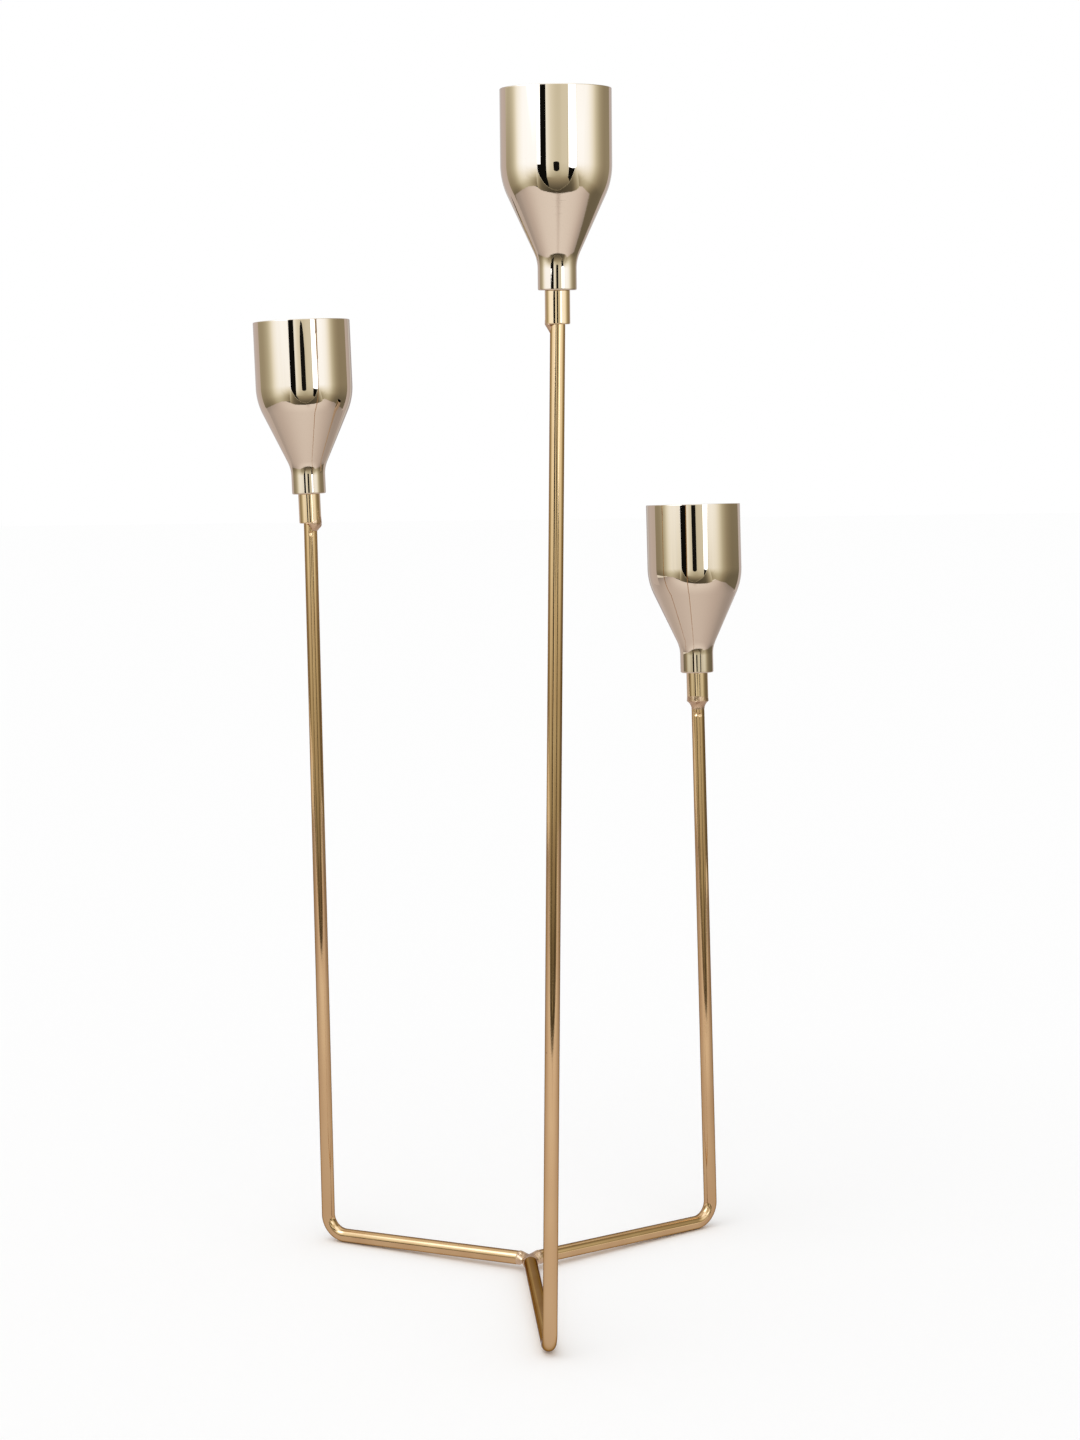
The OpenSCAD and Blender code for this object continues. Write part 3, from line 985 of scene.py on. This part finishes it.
def nut_radius(t, z):
    """The hexagon, cut back by a 30 degree cone at the top and bottom."""
    side = (t + math.pi / 6) % (math.pi / 3) - math.pi / 6
    hexagon = NUT_FLAT / math.cos(side)
    end = min(z - NUT_LOW, NUT_LOW + NUT_H - z)
    return min(hexagon, NUT_FLAT * 1.02 + end * 1.7)


def nut_mesh(name, place):
    levels = [0, 0.1, 0.2, 0.3, 0.45, 2, 3.55, 3.7, 3.8, 3.9, 4]
    top = NUT_LOW + NUT_H
    rings = [(NUT_LOW + level * MM, None) for level in levels]
    rings += [(top, NUT_MOUTH_R), (top - NUT_MOUTH_H, TAPPED_R),
              (NUT_LOW + NUT_MOUTH_H, TAPPED_R), (NUT_LOW, NUT_MOUTH_R)]
    verts = []
    for z, bore in rings:
        for t in angles(NUT_AROUND):
            r = bore or nut_radius(t, z)
            verts.append(place @ Vector((r * math.cos(t), r * math.sin(t), z)))
    return new_object(name, verts, grid_faces(len(rings), NUT_AROUND, True), zinc)


for name, arm in arms.items():
    stud = stud_mesh(name + "_threaded_stud", arm.seat)
    finish_piece(stud, name + "_stud", name + "_stud", sharp=60)
    nut = nut_mesh(name + "_neck_nut", arm.seat)
    finish_piece(nut, name + "_cup", name + "_nut", sharp=25)
print("stud has", len(stud.data.vertices), "vertices, nut", len(nut.data.vertices))

# %% [markdown]
# ## The bent bars
# Each arm is one bar: sawn off at the hub, a straight foot, a bend of a bar and a half radius,
# and a straight upright that ends inside the coupling. A curve with a bevel would do, but its
# cap and its rings can't be placed. Here a ring of points is swept along the arm's own sketch,
# with small rings at the sawn end for the edge that the saw leaves and the plating rounds.
# Below two of the couplings the weld's heat sank the skin into small flats, which catch the
# light, so the rings lie close together there.


# %% Flats below the couplings
def smooth_step(x):
    x = max(0.0, min(1.0, x))
    return x * x * (3 - 2 * x)


# Angle round the bar, height below the coupling, half width, half height and depth, in mm
BAR_FLATS = {"left": [(121, -5.1, 0.6, 0.85, 0.8)],
             "right": [(212, -6.3, 0.6, 0.6, 0.65), (248, -6.5, 0.65, 0.6, 0.65)],
             "near": []}
FLATS_BELOW = 9 * MM


def angle_from(t, degrees):
    """How far an angle in radians lies from one in degrees, by the shorter way."""
    return (t - math.radians(degrees) + math.pi) % (2 * math.pi) - math.pi


def bar_flats(name, t, z):
    """How far a bar's skin sinks. A flat deepens slowly from its top and ends in a slope."""
    sink = 0.0
    for angle, height, half_width, half_height, depth in BAR_FLATS[name]:
        side = math.exp(-(BAR_R * angle_from(t, angle) / (half_width * MM)) ** 4)
        rise = (z / MM - height) / half_height
        sink += depth * MM * side * max(0.0, min((rise + 1) / 2, 1, (1.7 - rise) / 0.7))
    return sink


print("flats:", {name: len(flats) for name, flats in BAR_FLATS.items()})

# %% Sweep the bars
BAR_AROUND = 72
SAWN_EDGE = 0.45 * MM
BEND_RINGS = 32
SWELL_RINGS = 4
CLOSE_BELOW = 8.5 * MM
CLOSE_STEP = 0.15 * MM
CLOSE_RINGS = 40
SOCKET_PLAY = 0.4 * MM


def bar_path(arm):
    """Centre, heading and radius of each ring, in the arm's plane, from the hub outwards."""
    rings = []
    heading = Vector((math.cos(SLOPE), 0, -math.sin(SLOPE)))
    corner = Vector((FOOT, 0, 0))
    start = corner - heading * (FOOT / math.cos(SLOPE) - HUB_GAP)
    length = (corner - heading * arm.tangent - start).length
    for t in steps(0, 90, 4):
        r = math.radians(t)
        rings.append((start + heading * SAWN_EDGE * (1 - math.cos(r)), heading,
                      BAR_R - SAWN_EDGE * (1 - math.sin(r))))
    for d in (1 * MM, 4 * MM, length / 3, 2 * length / 3, length - 1 * MM):
        rings.append((start + heading * d, heading, BAR_R))
    centre = Vector((arm.bend_x, 0, arm.bend_z))
    for i in range(BEND_RINGS + 1):
        t = arm.turn * i / BEND_RINGS - math.pi / 2 - SLOPE
        way = Vector((-math.sin(t), 0, math.cos(t)))
        swell = BEND_SWELL * min(1.0, min(i, BEND_RINGS - i) / SWELL_RINGS)
        spot = centre + Vector((math.cos(t), 0, math.sin(t))) * BEND_R
        rings.append((spot, way, BAR_R + swell))
    top = arm.length + SOCKET_H - SOCKET_PLAY
    close = [arm.length - CLOSE_BELOW + CLOSE_STEP * k for k in range(CLOSE_RINGS)]
    for k in (1 * MM, 30 * MM, 0.3 * top, 0.5 * top, 0.7 * top, 0.9 * top, *close, top):
        d = k if k > arm.tangent else arm.tangent + k
        rings.append((corner + way * d, way, BAR_R))
    return rings


def bar_mesh(name, arm):
    verts, where, along, last = [], [], 0.0, None
    rings = bar_path(arm)
    across = Vector((0, 1, 0))
    for spot, way, radius in rings:
        along += (spot - last).length if last else 0.0
        last = spot
        over = way.cross(across)
        below = (arm.head.inverted() @ (arm.plane @ spot)).z
        for t in angles(BAR_AROUND):
            offset = over * math.cos(t) + across * math.sin(t)
            sink = bar_flats(name, math.pi - t, below) if -FLATS_BELOW < below < 0 else 0.0
            verts.append(arm.plane @ (spot + offset * (radius - sink)))
            where.extend((math.cos(t), math.sin(t), along))
    faces = grid_faces(len(rings), BAR_AROUND, False)
    for end in (0, len(rings) - 1):
        middle = arm.plane @ rings[end][0]
        close_end(verts, faces, end * BAR_AROUND, BAR_AROUND, middle, end == 0)
        where.extend((0, 0, along))
    made = new_object(name + "_bent_bar", verts, faces, bar_brass)
    store(made, "turned", "FLOAT_VECTOR", where)
    return made


for name, arm in arms.items():
    rod = bar_mesh(name, arm)
    finish_piece(rod, "frame", name + "_bar", sharp=60)
    low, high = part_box(name + "_bar")
    tops = max((rod.matrix_world @ v.co).z for v in rod.data.vertices)
    print(name, "bar top is", round(1e6 * (tops - high[2]), 1), "micrometres from the CAD's")

# %% [markdown]
# ## The welds below the couplings
# The tall upright has a small tack on one side of its coupling, the left one a lump that runs
# round the front, the right one an even funnel with a pinhole in it. Weld metal freezes as it
# flowed, so each bead is a closed skin of rings whose section swells and shrinks along the
# seam. Sculpting would give the same lumps, but a list of marks can be read and changed: each
# mark is a pit or a drop, on top of a little noise.

# %% Section of a bead, and its marks
BITE = 0.4 * MM
SKIN_LAP = 0.02 * MM
SKIRT = 0.06 * MM
ROOT = 0.3 * MM
FACE_STEPS = 14
CREEP_STEPS = 8
INSIDE_STEPS = 5


def bead_section(down, over, fat, sharp):
    """Outline of a bead from the bar, out to the coupling and back inside, with z 0 between."""
    skin = [(BAR_R - ROOT, -down), (BAR_R + SKIN_LAP, -down)]
    skirt = SKIRT + 0.3 * fat
    for u in steps(0, 1, FACE_STEPS)[1:]:
        out = (COLLAR_R - BAR_R + skirt) * u ** sharp + fat * math.sin(u * math.pi) ** 0.8
        skin.append((BAR_R + SKIN_LAP + out, -down * (1 - u ** 0.9)))
    for u in steps(0, 1, CREEP_STEPS)[1:]:
        skin.append((COLLAR_R + skirt * (1 - u) + SKIN_LAP, over * u))
    inside = COLLAR_R - BITE
    skin += [(inside, over), (inside, 0), (inside, -0.1 * MM)]
    for u in steps(0, 1, INSIDE_STEPS)[1:]:
        r = inside - (COLLAR_R - BAR_R - 0.1 * MM) * u
        skin.append((r, -0.1 * MM * (1 - u) - 0.5 * down * u))
    return skin


def dents(t, z, marks):
    """Pits and drops in a bead: each mark is its angle, height, radius and depth."""
    shift = 0.0
    for angle, height, radius, depth in marks:
        across = (BAR_R + COLLAR_R) / 2 * angle_from(t, angle)
        away = math.hypot(across, z - height * MM) / (radius * MM)
        shift += depth * MM * math.exp(-away ** 4)
    return shift


# Marks: angle round the coupling, height from its lower face, radius and depth in mm
BEAD_MARKS = {
    "near": [(300, -0.6, 0.5, -0.12)],
    "left": [(150, 0.8, 1.0, 0.12), (205, -1.6, 0.9, 0.3), (122, -3.3, 0.45, -0.35),
             (150, -1.2, 1.0, 0.12), (185, 1.2, 0.9, 0.15)],
    "right": [(222, 0.6, 0.4, -0.45), (222, -0.55, 0.5, 0.14), (262, -3.7, 0.5, 0.14),
              (230, -3.7, 0.45, 0.14), (280, -0.6, 1.0, 0.08), (100, -1, 1, 0.1)],
}
print("marks:", {name: len(marks) for name, marks in BEAD_MARKS.items()})

# %% Lay the beads
SEAM_STEP = 2.5
ROUGHNESS = 0.05 * MM
# Points of a section that show and take noise and marks: all but the root and the inside
SHOWN = range(2, 2 + FACE_STEPS + CREEP_STEPS)


def bead(name, arm, start, sweep, leg, creep, bulge, sharp, marks, seed):
    """A bead in the corner below a coupling.

    leg, creep and bulge are functions of the way along the seam, from 0 to 1: how far the
    bead reaches down the bar and up the coupling, and how fat it is, in mm.
    """
    closed = sweep == 360
    around = int(sweep / SEAM_STEP)
    verts = []
    for j in range(around if closed else around + 1):
        s = j / around
        t = math.radians(start + sweep * s)
        skin = bead_section(leg(s) * MM, creep(s) * MM, bulge(s) * MM, sharp)
        section = len(skin)
        for i, (r, z) in enumerate(skin):
            if i in SHOWN:
                where = Vector((9 * math.cos(t) + seed, 9 * math.sin(t), z * 900))
                r += noise.noise(where) * ROUGHNESS + dents(t, z, marks)
            verts.append(arm.head @ Vector((r * math.cos(t), r * math.sin(t), z)))
    count = len(verts) // section
    faces = []
    for j in range(count if closed else count - 1):
        a, b = j * section, (j + 1) % count * section
        for k in range(section):
            m = (k + 1) % section
            faces.append((a + k, b + k, b + m, a + m))
    if not closed:
        faces.append(tuple(range(section)))
        faces.append(tuple(reversed(range((count - 1) * section, count * section))))
    return new_object(name, verts, faces, weld_metal)


def swell(s, run=0.3):
    """Rises from nothing at both ends of a bead."""
    return smooth_step(min(s, 1 - s) / run)


def wave(s, angle):
    """Round a closed seam: 1 at one angle, -1 on the other side."""
    return math.cos(math.radians(360 * s - angle))


beads = {
    "near": bead("near_tack", arms["near"], start=213, sweep=104, sharp=1.05, seed=1.3,
                 leg=lambda s: 0.4 + 3.2 * swell(s, 0.5),
                 creep=lambda s: 0.1 + 1.7 * swell(s, 0.5),
                 bulge=lambda s: 0.08 * swell(s), marks=BEAD_MARKS["near"]),
    "left": bead("left_lump", arms["left"], start=100, sweep=170, sharp=0.9, seed=4.1,
                 leg=lambda s: 0.9 + 2.8 * swell(s, 0.25),
                 creep=lambda s: 0.1 + 3.0 * swell(s * 0.75, 0.5),
                 bulge=lambda s: 0.35 * swell(s), marks=BEAD_MARKS["left"]),
    "right": bead("right_funnel", arms["right"], start=0, sweep=360, sharp=2.3, seed=7.7,
                  leg=lambda s: 4.0 + 0.15 * wave(s, 0),
                  creep=lambda s: 1.5 + 1.1 * wave(s, 215),
                  bulge=lambda s: 0.05, marks=BEAD_MARKS["right"]),
}
for name, made in beads.items():
    finish_piece(made, "frame", name + "_weld", sharp=60)
    print(made.name, "has", len(made.data.vertices), "vertices")

# %% [markdown]
# ## The nugget at the hub
# Between the three sawn ends lies one low nugget of weld metal. It has the shape of a Y: a
# ridge runs out along each foot and laps over its end, and a fillet fills the corner between
# two feet. A ball would stand proud of the bars, so the skin is drawn in polar steps, and its
# height comes from the ridge's own curve, with the same kind of marks as the beads.

# %% Nugget at the hub
HUB_Z = arms["near"].foot_z + HUB_RISE
NUGGET_LAP = 0.9 * MM
NUGGET_AROUND = 144
NUGGET_RINGS = 22
RIDGE = [(0, 1.7 * MM), (2 * MM, 1.9 * MM), (3.4 * MM, 2.6 * MM), (4.4 * MM, 3.1 * MM),
         (5 * MM, 3.14 * MM), (HUB_GAP + NUGGET_LAP, 3.03 * MM)]
FILLET = 0.03 * MM
FILLET_SWELL = 0.75 * MM
LUMPS = 0.16 * MM
# Marks on the nugget: place across the floor, radius and depth, in mm
HUB_MARKS = [(-4.4, 0.6, 0.4, -0.9), (4.2, 2.0, 0.5, -0.4), (-1.0, -1.6, 1.0, 0.15),
             (1.2, 0.4, 1.1, 0.18), (4.3, 0.4, 0.8, 0.15), (-2.5, 2.2, 1.0, 0.15)]


def hub_point(t, share, side):
    """A point of the skin: angle, share of the way out, and +1 on top or -1 underneath."""
    off = (math.degrees(t) - 30) % 120
    off = math.radians(min(off, 120 - off))
    fillet = BAR_R + FILLET + FILLET_SWELL * smooth_step(math.degrees(off) / 60)
    reach = (HUB_GAP + NUGGET_LAP) / max(0.3, math.cos(off))
    if math.sin(off) > 0.05:
        reach = min(reach, fillet / math.sin(off))
    r = reach * share
    across = min(1.0, r * math.sin(off) / fillet)
    high = between(RIDGE, r * math.cos(off)) * math.sqrt(1 - across * across)
    x, y = r * math.cos(t), r * math.sin(t)
    lump = noise.noise(Vector((x, y, side * 0.01)) * 500) * LUMPS * math.sin(share * math.pi)
    for mark_x, mark_y, radius, depth in HUB_MARKS:
        away = math.hypot(x - mark_x * MM, y - mark_y * MM) / (radius * MM)
        lump += depth * MM * math.exp(-away ** 2) * (side > 0)
    return Vector((x, y, HUB_Z - SLOPE * r + side * (high + lump)))


def hub_nugget():
    verts = []
    shares = [math.sin(math.pi / 2 * i / NUGGET_RINGS) for i in range(1, NUGGET_RINGS + 1)]
    for side in (1, -1):
        for share in (shares if side > 0 else reversed(shares)):
            verts.extend(hub_point(t, share, side) for t in angles(NUGGET_AROUND))
    faces = grid_faces(2 * NUGGET_RINGS, NUGGET_AROUND, False)
    last = (2 * NUGGET_RINGS - 1) * NUGGET_AROUND
    for first, side in ((0, 1), (last, -1)):
        close_end(verts, faces, first, NUGGET_AROUND, hub_point(0, 0, side), side > 0)
    faces = [tuple(reversed(face)) for face in faces]
    return new_object("hub_nugget", verts, faces, weld_metal)


nugget = finish_piece(hub_nugget(), "frame", "hub_weld", sharp=60)
print(nugget.name, "has", len(nugget.data.vertices), "vertices")
